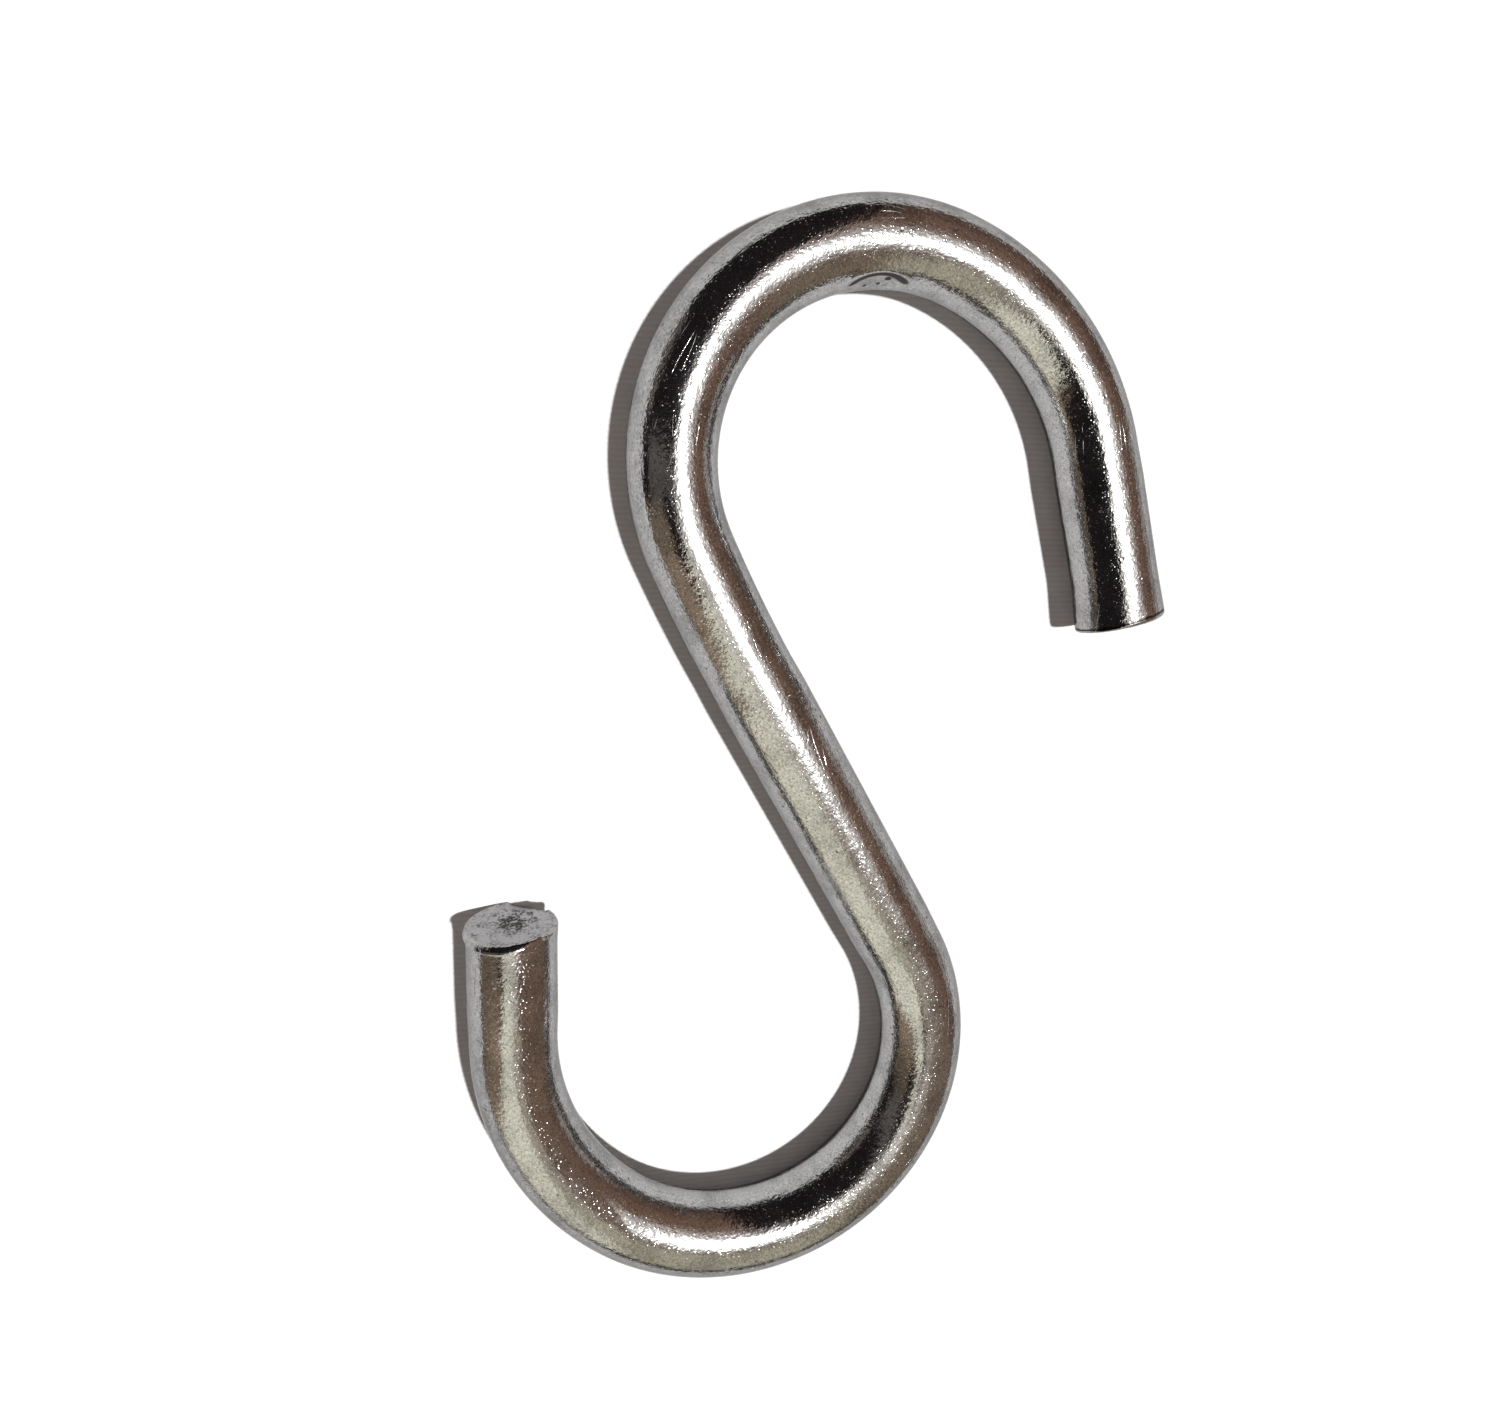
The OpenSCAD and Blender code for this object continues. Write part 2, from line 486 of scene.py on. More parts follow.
    def _grows(self, runs: list[Run], k: int) -> float:
        """How the bar's radius changes over a straight run.

        Args:
            runs: All the runs.
            k: Which of them it is.

        Returns:
            The radius at the run's end over that at its start.
        """
        ratio = self.bend_bar_r / self.bar_r
        if k + 1 < len(runs) and runs[k + 1].turn is not Turn.STRAIGHT:
            return ratio
        if k > 0 and runs[k - 1].turn is not Turn.STRAIGHT:
            return 1.0 / ratio
        return 1.0

    def _straight(self, start: Station, run: Run, growth: float) -> None:
        """Extrudes the open ring along a straight, a step at a time.

        Args:
            start: Where the straight starts.
            run: The straight.
            growth: The end's radius over the start's.
        """
        move = start.forward() * (run.length / run.steps)
        each = growth ** (1.0 / run.steps)
        middle = start.point(self.bar_r)
        for _ in range(run.steps):
            middle = middle + move
            bpy.ops.mesh.extrude_region_move(TRANSFORM_OT_translate={"value": move})
            if growth != 1.0:
                bpy.ops.transform.resize(value=(each, each, each), center_override=middle)

    def _bend(self, start: Station, run: Run) -> None:
        """Spins the open ring round a bend's centre.

        Args:
            start: Where the bend starts.
            run: The bend.
        """
        bpy.ops.mesh.spin(
            steps=run.steps,
            dupli=False,
            angle=-radians(run.angle) * run.turn.value,
            center=start.centre(run),
            axis=(0.0, 0.0, 1.0),
        )

    def _close(self, end: Station) -> None:
        """Closes a free end with rings that get smaller towards its middle.

        Args:
            end: The station of the free end.
        """
        middle = end.point(self.bar_r)
        bpy.ops.mesh.select_all(action="DESELECT")
        bm = bmesh.from_edit_mesh(bpy.context.edit_object.data)
        for vert in bm.verts:
            from_end = vert.co - middle
            if abs(from_end.dot(end.forward())) < 1e-6 and from_end.length < self.bar_r * 1.01:
                vert.select_set(True)
        bm.select_flush_mode()
        bmesh.update_edit_mesh(bpy.context.edit_object.data)
        radius = self.bar_r
        first, spacing, count = self.face_rings
        for depth in (*self.rim_rings, *(first + spacing * k for k in range(count))):
            smaller = self.bar_r - depth * MM
            bpy.ops.mesh.extrude_region_move(TRANSFORM_OT_translate={"value": (0.0, 0.0, 0.0)})
            shrink = smaller / radius
            bpy.ops.transform.resize(value=(shrink,) * 3, center_override=middle)
            radius = smaller
        bpy.ops.mesh.merge(type="CENTER")

    def _unroll(self, piece: bpy.types.Object, stations: list[Station]) -> None:
        """Stores on each point where it would lie if the bar were still straight.

        The attribute "bar" holds the length along the bar and the place across it, in metres, so
        that grain and scratches run along the bar round its bends. The attributes "cut_face",
        "torn_core" and "crease" are added here too, and filled where the ends and the dent are
        shaped. The last of these holds painted shade, which darkens the groove and pits of the
        dent and a line just behind the rim of a sheared end.

        Args:
            piece: The hook.
            stations: The stations between its runs.
        """
        rings: list[tuple[Vector, Vector, float]] = []
        walked = 0.0
        for start, run in zip(stations, self.runs()):
            count = max(4, run.steps * 2)
            for k in range(count):
                at = start.after(run, k / count)
                rings.append((at.point(self.bar_r), at.forward(), walked + run.length * k / count))
            walked += run.length
        last = stations[-1]
        rings.append((last.point(self.bar_r), last.forward(), walked))
        tree = KDTree(len(rings))
        for k, ring in enumerate(rings):
            tree.insert(ring[0], k)
        tree.balance()
        unrolled: list[float] = []
        for vert in piece.data.vertices:
            _, k, _ = tree.find(vert.co)
            middle, forward, length = rings[k]
            away = vert.co - middle
            side = Vector((-forward.y, forward.x, 0.0))
            unrolled += [length + away.dot(forward), away.dot(side), away.z]
        layer = piece.data.attributes.new("bar", "FLOAT_VECTOR", "POINT")
        layer.data.foreach_set("vector", unrolled)
        for name in ("cut_face", "torn_core", "painted_shade"):
            piece.data.attributes.new(name, "FLOAT", "POINT")

    def _shape_end(
        self, piece: bpy.types.Object, end: Station, cut: ShearedEnd, outward: float
    ) -> None:
        """Gives a free end its slanted face, rolled rim, spread and torn grain.

        Args:
            piece: The hook.
            end: The station of the free end.
            cut: How the shear left it.
            outward: 1 if the station faces out of the bar, and -1 if it faces in.
        """
        out = end.forward() * outward
        right = Vector((out.y, -out.x, 0.0))
        middle = end.point(self.bar_r)
        face_mask = piece.data.attributes["cut_face"]
        core = piece.data.attributes["torn_core"]
        painted_shade = piece.data.attributes["painted_shade"]
        for k, vert in enumerate(piece.data.vertices):
            away = vert.co - middle
            if away.length > cut.zone + 2 * self.bar_r:
                continue
            beyond, across, up = away.dot(out), away.dot(right), away.z
            if beyond < -cut.zone or beyond > 1e-6:
                continue
            angle = atan2(up, across)
            reach = sqrt(across * across + up * up)
            rim = cut.rim_radius(angle)
            inside = self.bar_r - reach
            if beyond > -1e-7:
                left_over = max(0.0, rim - inside)
                drop = rim - sqrt(max(0.0, rim * rim - left_over * left_over))
                height = cut.face(across, up) - drop + cut.torn(across, up, inside)
                face_mask.data[k].value = cut.face_share(inside, rim)
                core.data[k].value = cut.core_share(across, up, self.bar_r)
                spread = 1.0
            else:
                edge = cut.face(self.bar_r * cos(angle), self.bar_r * sin(angle)) - rim
                share = 1.0 + beyond / cut.zone
                height = -cut.zone + share * (edge + cut.zone)
                # Painted shade: a dark line on the wall just behind the rim.
                painted_shade.data[k].value = cut.burr_shade_share(angle, edge - height)
                spread = max(0.0, 1.0 + height / cut.spread_len)
                spread = spread * spread * (3.0 - 2.0 * spread) if spread < 1.0 else 1.0
            wider = cut.spread_right if across > 0 else cut.spread_left
            across *= 1.0 + spread * wider / self.bar_r
            vert.co = middle + out * height + right * across + Vector((0.0, 0.0, up))

    def _press(self, piece: bpy.types.Object) -> None:
        """Presses the round tool's mark into the inside of the upper hook.

        Args:
            piece: The hook.
        """
        mark = self.mark
        radius = self.upper_main[0]
        out = self.upper_bend_start()
        hub = out.centre(Run(Turn.RIGHT, *self.upper_main))
        start = atan2(out.y - hub.y, out.x - hub.x)
        towards = start - radians(mark.along)
        tool_at = self.bend_bar_r + mark.tool_r - mark.depth
        lift = radians(mark.lift)
        arm = radius - tool_at * cos(lift)
        tool = Vector(
            (
                hub.x + arm * cos(towards),
                hub.y + arm * sin(towards),
                self.bar_r + tool_at * sin(lift),
            )
        )
        painted_shade = piece.data.attributes["painted_shade"]
        onwards = Vector((sin(towards), -cos(towards), 0.0))
        for k, vert in enumerate(piece.data.vertices):
            away = vert.co - tool
            distance = away.length
            if distance > mark.tool_r + 1.0 * MM:
                continue
            outwards = away.normalized()
            past = distance - mark.tool_r
            if past < 0.0:
                vert.co = tool + outwards * mark.tool_r
            else:
                share = past / mark.lip_width
                vert.co = vert.co - outwards * (mark.lip * share * exp(1.0 - share * share))
            along, up = away.dot(onwards), vert.co.z - self.bar_r - 1.3 * MM
            upper = min(1.0, max(0.0, up / (0.5 * MM)))
            line = exp(-((past / mark.groove_width) ** 2)) * upper
            vert.co = vert.co + outwards * (mark.groove * line)
            for pit_along, pit_up, pit_r in mark.pits:
                off = Vector((along - pit_along, up - pit_up)).length / pit_r
                pit_and_shade = max(0.0, 1.0 - off * off)
                vert.co = vert.co + outwards * (0.3 * pit_r * pit_and_shade)
                line = max(line, min(1.0, 1.6 * pit_and_shade))
            # Painted shade: the groove and pits of the dent are darkened in colour as well.
            painted_shade.data[k].value = line


class Nodes:
    """Short ways to add and join shader nodes in one node tree."""

    def __init__(self, tree: bpy.types.NodeTree) -> None:
        """Keeps the tree that nodes go into."""
        self.tree = tree

    def add(self, kind: str, label: str = "", **values: object) -> bpy.types.Node:
        """Adds a node and sets its properties.

        Args:
            kind: The node's type name, without the ShaderNode in front.
            label: What the node is for.
            **values: Properties of the node.

        Returns:
            The new node.
        """
        name = kind if kind.startswith("NodeGroup") else "ShaderNode" + kind
        node = self.tree.nodes.new(name)
        node.label = label
        for key, value in values.items():
            setattr(node, key, value)
        return node

    def join(self, source: object, target: bpy.types.NodeSocket) -> None:
        """Feeds a socket from another socket, or sets it to a value.

        Args:
            source: The other socket, or the value.
            target: The socket that is fed.
        """
        if isinstance(source, bpy.types.NodeSocket):
            self.tree.links.new(source, target)
        else:
            target.default_value = source

    def maths(self, operation: str, *terms: object, clamp: bool = False) -> bpy.types.NodeSocket:
        """Adds a Math node.

        Args:
            operation: What the node does.
            *terms: The sockets or numbers it works on.
            clamp: Whether the result is kept between 0 and 1.

        Returns:
            The result.
        """
        node = self.add("Math", operation=operation, use_clamp=clamp)
        for socket, term in zip(node.inputs, terms):
            self.join(term, socket)
        return node.outputs[0]

    def ramp(
        self, value: object, low: object, high: object, to_low: object = 0.0, to_high: object = 1.0
    ) -> bpy.types.NodeSocket:
        """Adds a smooth step.

        Args:
            value: What is read.
            low: Where the step starts.
            high: Where it ends.
            to_low: The result before the step.
            to_high: The result after it.

        Returns:
            The result.
        """
        node = self.add("MapRange", interpolation_type="SMOOTHSTEP")
        for name, term in (
            ("Value", value),
            ("From Min", low),
            ("From Max", high),
            ("To Min", to_low),
            ("To Max", to_high),
        ):
            self.join(term, node.inputs[name])
        return node.outputs["Result"]

    def mix(self, share: object, first: object, second: object) -> bpy.types.NodeSocket:
        """Mixes two colours.

        Args:
            share: How much of the second colour shows, from 0 to 1.
            first: The first colour.
            second: The second colour.

        Returns:
            The mixed colour.
        """
        node = self.add("Mix", data_type="RGBA")
        self.join(share, node.inputs[0])
        self.join(first, node.inputs[6])
        self.join(second, node.inputs[7])
        return node.outputs[2]

    def stretch(self, vector: object, scale: object) -> bpy.types.NodeSocket:
        """Scales a vector by the factors of another.

        Args:
            vector: The vector.
            scale: The factors along X, Y and Z.

        Returns:
            The scaled vector.
        """
        node = self.add("VectorMath", operation="MULTIPLY")
        self.join(vector, node.inputs[0])
        self.join(scale, node.inputs[1])
        return node.outputs[0]

    def noise(
        self, vector: object, scale: object, detail: float = 2.0, roughness: float = 0.5
    ) -> bpy.types.NodeSocket:
        """Adds a noise texture.

        Args:
            vector: Where it is read.
            scale: How many features there are to the metre.
            detail: How many finer octaves are added.
            roughness: How strong those are.

        Returns:
            Its value, centred on a half.
        """
        node = self.add("TexNoise")
        self.join(vector, node.inputs["Vector"])
        self.join(scale, node.inputs["Scale"])
        self.join(detail, node.inputs["Detail"])
        self.join(roughness, node.inputs["Roughness"])
        return node.outputs["Fac"]


def new_group(
    name: str, inputs: dict[str, str], outputs: dict[str, str]
) -> tuple[bpy.types.NodeTree, Nodes, bpy.types.Node, bpy.types.Node]:
    """Starts a shader node group with named inputs and outputs.

    Args:
        name: The group's name.
        inputs: Name of each input to its kind, Float, Vector or Color.
        outputs: Name of each output to its kind.

    Returns:
        The group, its node helper, its input node and its output node.
    """
    tree = bpy.data.node_groups.new(name, "ShaderNodeTree")
    for key, kind in inputs.items():
        tree.interface.new_socket(key, in_out="INPUT", socket_type="NodeSocket" + kind)
    for key, kind in outputs.items():
        tree.interface.new_socket(key, in_out="OUTPUT", socket_type="NodeSocket" + kind)
    nodes = Nodes(tree)
    return tree, nodes, nodes.add("NodeGroupInput"), nodes.add("NodeGroupOutput")


def peel_group() -> bpy.types.NodeTree:
    """The fine ripple of a plated surface, as a height from 0 to 1.

    Returns:
        The group, with inputs Vector, Scale and Streak and the output Height.
    """
    tree, nodes, given, out = new_group(
        "plated_peel",
        {"Vector": "Vector", "Scale": "Float", "Streak": "Float"},
        {"Height": "Float"},
    )
    combine = nodes.add("CombineXYZ")
    nodes.join(given.outputs["Streak"], combine.inputs["X"])
    combine.inputs["Y"].default_value = 1.0
    combine.inputs["Z"].default_value = 1.0
    along = nodes.stretch(given.outputs["Vector"], combine.outputs[0])
    fine = nodes.noise(along, given.outputs["Scale"], 2.0, 0.55)
    broad = nodes.noise(along, nodes.maths("MULTIPLY", given.outputs["Scale"], 0.23), 1.0, 0.5)
    nodes.join(
        nodes.maths("ADD", nodes.maths("MULTIPLY", fine, 0.6), nodes.maths("MULTIPLY", broad, 0.4)),
        out.inputs["Height"],
    )
    return tree


def speckle_group() -> bpy.types.NodeTree:
    """Small round spots strewn at random, as a mask that is 1 in a spot's middle.

    Returns:
        The group, with inputs Vector, Scale, Size and Share and the output Mask.
    """
    tree, nodes, given, out = new_group(
        "strewn_spots",
        {"Vector": "Vector", "Scale": "Float", "Size": "Float", "Share": "Float"},
        {"Mask": "Float"},
    )
    cells = nodes.add("TexVoronoi", feature="F1")
    nodes.join(given.outputs["Vector"], cells.inputs["Vector"])
    nodes.join(given.outputs["Scale"], cells.inputs["Scale"])
    split = nodes.add("SeparateColor")
    nodes.join(cells.outputs["Color"], split.inputs[0])
    chosen = nodes.maths("LESS_THAN", split.outputs[0], given.outputs["Share"])
    size = nodes.maths(
        "MULTIPLY", given.outputs["Size"], nodes.maths("ADD", split.outputs[1], 0.35)
    )
    spot = nodes.ramp(cells.outputs["Distance"], 0.0, size, 1.0, 0.0)
    nodes.join(nodes.maths("MULTIPLY", spot, chosen), out.inputs["Mask"])
    return tree


def scratch_group() -> bpy.types.NodeTree:
    """Thin handling scratches that mostly run one way, as a mask.

    Returns:
        The group, with inputs Vector, Scale, Length and Share and the output Mask.
    """
    tree, nodes, given, out = new_group(
        "thin_scratches",
        {"Vector": "Vector", "Scale": "Float", "Length": "Float", "Share": "Float"},
        {"Mask": "Float"},
    )
    lean = nodes.add("VectorRotate", rotation_type="AXIS_ANGLE")
    nodes.join(given.outputs["Vector"], lean.inputs["Vector"])
    lean.inputs["Axis"].default_value = (0.3, 0.7, 0.65)
    lean.inputs["Angle"].default_value = 0.22
    combine = nodes.add("CombineXYZ")
    nodes.join(nodes.maths("DIVIDE", 1.0, given.outputs["Length"]), combine.inputs["X"])
    combine.inputs["Y"].default_value = 1.0
    combine.inputs["Z"].default_value = 1.0
    along = nodes.stretch(lean.outputs[0], combine.outputs[0])
    lines = nodes.noise(along, given.outputs["Scale"], 0.0, 0.5)
    off_line = nodes.maths("ABSOLUTE", nodes.maths("SUBTRACT", lines, 0.5))
    line = nodes.ramp(off_line, 0.0, 0.012, 1.0, 0.0)
    patches = nodes.maths("MULTIPLY", given.outputs["Scale"], 0.2)
    here = nodes.noise(given.outputs["Vector"], patches)
    edge = nodes.maths("SUBTRACT", 1.0, given.outputs["Share"])
    chosen = nodes.ramp(here, edge, nodes.maths("ADD", edge, 0.06))
    nodes.join(nodes.maths("MULTIPLY", line, chosen), out.inputs["Mask"])
    return tree


@dataclass(frozen=True)
class Effects:
    """The node groups that the finishes share.

    Args:
        peel: Fine ripple of a plated surface.
        spots: Small round spots.
        scratches: Thin scratches.
    """

    peel: bpy.types.NodeTree
    spots: bpy.types.NodeTree
    scratches: bpy.types.NodeTree

    @staticmethod
    def make() -> "Effects":
        """Builds each group once."""
        return Effects(peel_group(), speckle_group(), scratch_group())

    @staticmethod
    def place(nodes: Nodes, tree: bpy.types.NodeTree, **values: object) -> bpy.types.NodeSocket:
        """Puts a group in a material with its own values.

        Args:
            nodes: The material's nodes.
            tree: The group.
            **values: What each input gets.

        Returns:
            The group's first output.
        """
        node = nodes.add("Group", tree.name)
        node.node_tree = tree
        for key, value in values.items():
            nodes.join(value, node.inputs[key])
        return node.outputs[0]


@dataclass(frozen=True)
class Spots:
    """How one kind of spot is strewn over a surface.

    Args:
        scale: How many cells there are to the metre.
        size: Radius of a spot, in cells.
        share: Share of the cells that have one.
    """

    scale: float
    size: float
    share: float

    def mask(
        self, nodes: Nodes, effects: Effects, place: bpy.types.NodeSocket
    ) -> bpy.types.NodeSocket:
        """Puts the spots in a material.

        Args:
            nodes: The material's nodes.
            effects: The shared node groups.
            place: Where the pattern is read.

        Returns:
            Where the spots are, from 0 to 1.
        """
        return effects.place(
            nodes, effects.spots, Vector=place, Scale=self.scale, Size=self.size, Share=self.share
        )


@dataclass(frozen=True)
class PlateMasks:
    """What the zinc plate's colour, roughness and height are worked out from.

    Args:
        along: Place on the bar as if it were still straight.
        on_face: 1 on the sheared faces.
        core: 1 in the torn core of a face.
        painted_shade: Painted shade, 1 in the groove and pits of the press mark and just behind a
            burr.
        glints: Tiny bright bumps.
        pits: Pits in the plating.
        torn_grain: Grain of the torn steel.
    """

    along: bpy.types.NodeSocket
    on_face: bpy.types.NodeSocket
    core: bpy.types.NodeSocket
    painted_shade: bpy.types.NodeSocket
    glints: bpy.types.NodeSocket
    pits: bpy.types.NodeSocket
    torn_grain: bpy.types.NodeSocket


@dataclass(frozen=True)
class ZincPlate:
    """Bright zinc plating, and the dull torn steel of the sheared faces.

    Args:
        bright: Colour of clean plating.
        stained: Colour where it is stained.
        pit_and_shade: Colour of pits in the plating, and of painted shade at the dent and a rim.
        fleck: Colour of its dark flecks.
        glossy: Colour of its bright flecks.
        torn: Colour of a sheared face.
        torn_dark: Colour of the pits in it.
        stain_scale: Stains to the metre.
        fleck_scale: Flecks to the metre.
        rough_scale: Patches of more and less gloss to the metre.
        roughness: The least and the greatest roughness of the plating.
        rougher: How much rougher pits, glints and sheared faces are.
        face_dull: How much less metallic a sheared face is.
        peel_scale: Ripples of the plating to the metre.
        peel_depth: Their depth, in metres.
        wave_scale: Broad waves of the bar's wall to the metre.
        wave_depth: Their depth, in metres.
        glint_depth: Height of a glint, in metres.
        pit_depth: Depth of the pits, in metres.
        scratch_scale: Scratches to the metre.
        scratch_length: Their length over their width.
        scratch_share: Share of the surface that has some.
        scratch_depth: Their depth, in metres.
        torn_scale: Grains of the torn steel to the metre.
        torn_depth: Their height, in metres.
        torn_pit_weight: How strongly the pits in a torn core show.
        glints: How glints are strewn.
        pits: How pits in the plating are strewn.
        torn_pits: How pits in a torn core are strewn.
    """

    bright: tuple[float, float, float, float] = (0.385, 0.385, 0.385, 1.0)
    stained: tuple[float, float, float, float] = (0.27, 0.27, 0.268, 1.0)
    pit_and_shade: tuple[float, float, float, float] = (0.055, 0.05, 0.047, 1.0)
    fleck: tuple[float, float, float, float] = (0.11, 0.108, 0.104, 1.0)
    glossy: tuple[float, float, float, float] = (0.62, 0.62, 0.62, 1.0)
    torn: tuple[float, float, float, float] = (0.52, 0.52, 0.53, 1.0)
    torn_dark: tuple[float, float, float, float] = (0.05, 0.05, 0.048, 1.0)
    stain_scale: float = 260.0
    fleck_scale: float = 4600.0
    rough_scale: float = 420.0
    roughness: tuple[float, float] = (0.09, 0.15)
    rougher: tuple[float, float, float] = (0.4, 0.16, 0.45)
    face_dull: float = 0.62
    peel_scale: float = 3000.0
    peel_depth: float = 5.2e-5
    wave_scale: float = 350.0
    wave_depth: float = 4.0e-5
    glint_depth: float = 1.5e-5
    pit_depth: float = 3.0e-5
    scratch_scale: float = 900.0
    scratch_length: float = 14.0
    scratch_share: float = 0.42
    scratch_depth: float = 1.2e-5
    torn_scale: float = 3600.0
    torn_depth: float = 9.0e-5
    torn_pit_weight: float = 1.7
    glints: Spots = Spots(4600.0, 0.44, 0.42)
    pits: Spots = Spots(900.0, 0.17, 0.3)
    torn_pits: Spots = Spots(2600.0, 0.6, 0.75)

    def build(self, effects: Effects) -> bpy.types.Material:
        """Makes the material.

        Args:
            effects: The shared node groups.

        Returns:
            The material.
        """
        material = bpy.data.materials.new("zinc_plate")
        material.use_nodes = True
        nodes = Nodes(material.node_tree)
        shader = material.node_tree.nodes["Principled BSDF"]
        masks = self._masks(nodes, effects)
        nodes.join(self._colour(nodes, effects, masks), shader.inputs["Base Color"])
        dull = nodes.maths("MULTIPLY", masks.on_face, self.face_dull)
        nodes.join(nodes.maths("SUBTRACT", 1.0, dull), shader.inputs["Metallic"])
        nodes.join(self._roughness(nodes, masks), shader.inputs["Roughness"])
        bump = nodes.add("Bump", "grain")
        bump.inputs["Strength"].default_value = 1.0
        bump.inputs["Distance"].default_value = 1.0
        nodes.join(self._height(nodes, effects, masks), bump.inputs["Height"])
        nodes.join(bump.outputs[0], shader.inputs["Normal"])
        shader.inputs["Specular Tint"].default_value = (0.5, 0.5, 0.5, 1.0)
        return material

    def _masks(self, nodes: Nodes, effects: Effects) -> PlateMasks:
        """Reads the hook's attributes and lays the patterns on them.

        Args:
            nodes: The material's nodes.
            effects: The shared node groups.

        Returns:
            The masks.
        """
        bar = nodes.add("Attribute", "place along the straight bar", attribute_name="bar")
        face = nodes.add("Attribute", "cut face", attribute_name="cut_face")
        middle = nodes.add("Attribute", "torn core", attribute_name="torn_core")
        painted_shade = nodes.add("Attribute", "painted_shade", attribute_name="painted_shade")
        along = bar.outputs["Vector"]
        return PlateMasks(
            along=along,
            on_face=face.outputs["Fac"],
            core=middle.outputs["Fac"],
            painted_shade=painted_shade.outputs["Fac"],
            glints=self.glints.mask(nodes, effects, along),
            pits=self.pits.mask(nodes, effects, along),
            torn_grain=effects.place(
                nodes, effects.peel, Vector=along, Scale=self.torn_scale, Streak=1.0
            ),
        )

    def _colour(
        self, nodes: Nodes, effects: Effects, masks: PlateMasks
    ) -> bpy.types.NodeSocket:
        """Works out the colour of the plating and sheared faces, with painted shade in creases.

        Args:
            nodes: The material's nodes.
            effects: The shared node groups.
            masks: The masks.

        Returns:
            The colour.
        """
        stain = nodes.ramp(nodes.noise(masks.along, self.stain_scale, 3.0, 0.6), 0.42, 0.7)
        plate = nodes.mix(stain, self.bright, self.stained)
        plate = nodes.mix(masks.pits, plate, self.pit_and_shade)
        fleck = nodes.noise(masks.along, self.fleck_scale, 2.0, 0.6)
        plate = nodes.mix(nodes.ramp(fleck, 0.33, 0.48, 0.5, 0.0), plate, self.fleck)
        plate = nodes.mix(nodes.ramp(fleck, 0.54, 0.7, 0.0, 0.5), plate, self.glossy)
        # Painted shade: darker in the dent's groove and pits and in a line just behind a rim.
        plate = nodes.mix(nodes.ramp(masks.painted_shade, 0.1, 0.55), plate, self.pit_and_shade)
        whole = nodes.maths("MULTIPLY_ADD", masks.core, 0.24, 0.26)
        torn = nodes.mix(nodes.ramp(masks.torn_grain, whole, 0.56), self.torn_dark, self.torn)
        core_pits = nodes.maths(
            "MULTIPLY", self.torn_pits.mask(nodes, effects, masks.along), masks.core
        )
        core_pits = nodes.maths("MULTIPLY", core_pits, self.torn_pit_weight)
        torn = nodes.mix(core_pits, torn, self.torn_dark)
        return nodes.mix(masks.on_face, plate, torn)

    def _roughness(self, nodes: Nodes, masks: PlateMasks) -> bpy.types.NodeSocket:
        """Works out how rough the surface is.

        Args:
            nodes: The material's nodes.
            masks: The masks.

        Returns:
            The roughness.
        """
        patches = nodes.noise(masks.along, self.rough_scale, 2.0, 0.5)
        rough = nodes.ramp(patches, 0.3, 0.7, *self.roughness)
        for mask, more in zip((masks.pits, masks.glints, masks.on_face), self.rougher):
            rough = nodes.maths("ADD", rough, nodes.maths("MULTIPLY", mask, more), clamp=True)
        return rough

    def _height(
        self, nodes: Nodes, effects: Effects, masks: PlateMasks
    ) -> bpy.types.NodeSocket:
        """Adds up the fine relief.

        Args:
            nodes: The material's nodes.
            effects: The shared node groups.
            masks: The masks.

        Returns:
            The height, in metres.
        """
        peel = effects.place(
            nodes, effects.peel, Vector=masks.along, Scale=self.peel_scale, Streak=0.7
        )
        scratches = effects.place(
            nodes,
            effects.scratches,
            Vector=masks.along,
            Scale=self.scratch_scale,
            Length=self.scratch_length,
            Share=self.scratch_share,
        )
        height = nodes.maths("MULTIPLY", peel, self.peel_depth)
        for mask, rise in (
            (nodes.noise(masks.along, self.wave_scale, 1.0, 0.4), self.wave_depth),
            (masks.glints, self.glint_depth),
            (masks.pits, -self.pit_depth),
            (scratches, -self.scratch_depth),
            (masks.torn_grain, nodes.maths("MULTIPLY", masks.on_face, self.torn_depth)),
        ):
            height = nodes.maths("ADD", height, nodes.maths("MULTIPLY", mask, rise))
        return height


@dataclass(frozen=True)
class Panel:
    """An upright panel of the tent that stands round the hook, seen only in its gloss.

    Args:
        azimuth: Direction of the panel's middle from +X, in degrees.
        half_width: Half its width, in degrees.
        low: Height of its lower edge over the horizon, in degrees.
        high: Height of its upper edge, in degrees.
        colour: How bright it is in red, green and blue.
        soft: Width of its soft upright edges, in degrees.
        soft_high: Width of its soft upper and lower edges, in degrees.
    """

    azimuth: float
    half_width: float
    low: float
    high: float
    colour: tuple[float, float, float]
    soft: float = 4.0
    soft_high: float = 8.0

    def mask(self, nodes: Nodes, direction: bpy.types.NodeSocket) -> bpy.types.NodeSocket:
        """Where the panel is seen, as a value from 0 to 1.

        Args:
            nodes: The tent material's nodes.
            direction: Unit vector from the middle of the floor.

        Returns:
            The mask.
        """
        turn = nodes.add("VectorRotate", rotation_type="Z_AXIS")
        nodes.join(direction, turn.inputs["Vector"])
        turn.inputs["Angle"].default_value = -radians(self.azimuth)
        split = nodes.add("SeparateXYZ")
        nodes.join(turn.outputs[0], split.inputs[0])
        away = nodes.maths("ARCTAN2", split.outputs["Y"], split.outputs["X"])
        edge, half = radians(self.half_width), radians(self.soft) / 2
        wide = nodes.ramp(nodes.maths("ABSOLUTE", away), edge - half, edge + half, 1.0, 0.0)
        height = nodes.maths("ARCSINE", split.outputs["Z"])
        half = radians(self.soft_high) / 2
        low, high = radians(self.low), radians(self.high)
        above = nodes.ramp(height, low - half, low + half)
        below = nodes.ramp(height, high - half, high + half, 1.0, 0.0)
        return nodes.maths("MULTIPLY", wide, nodes.maths("MULTIPLY", above, below))


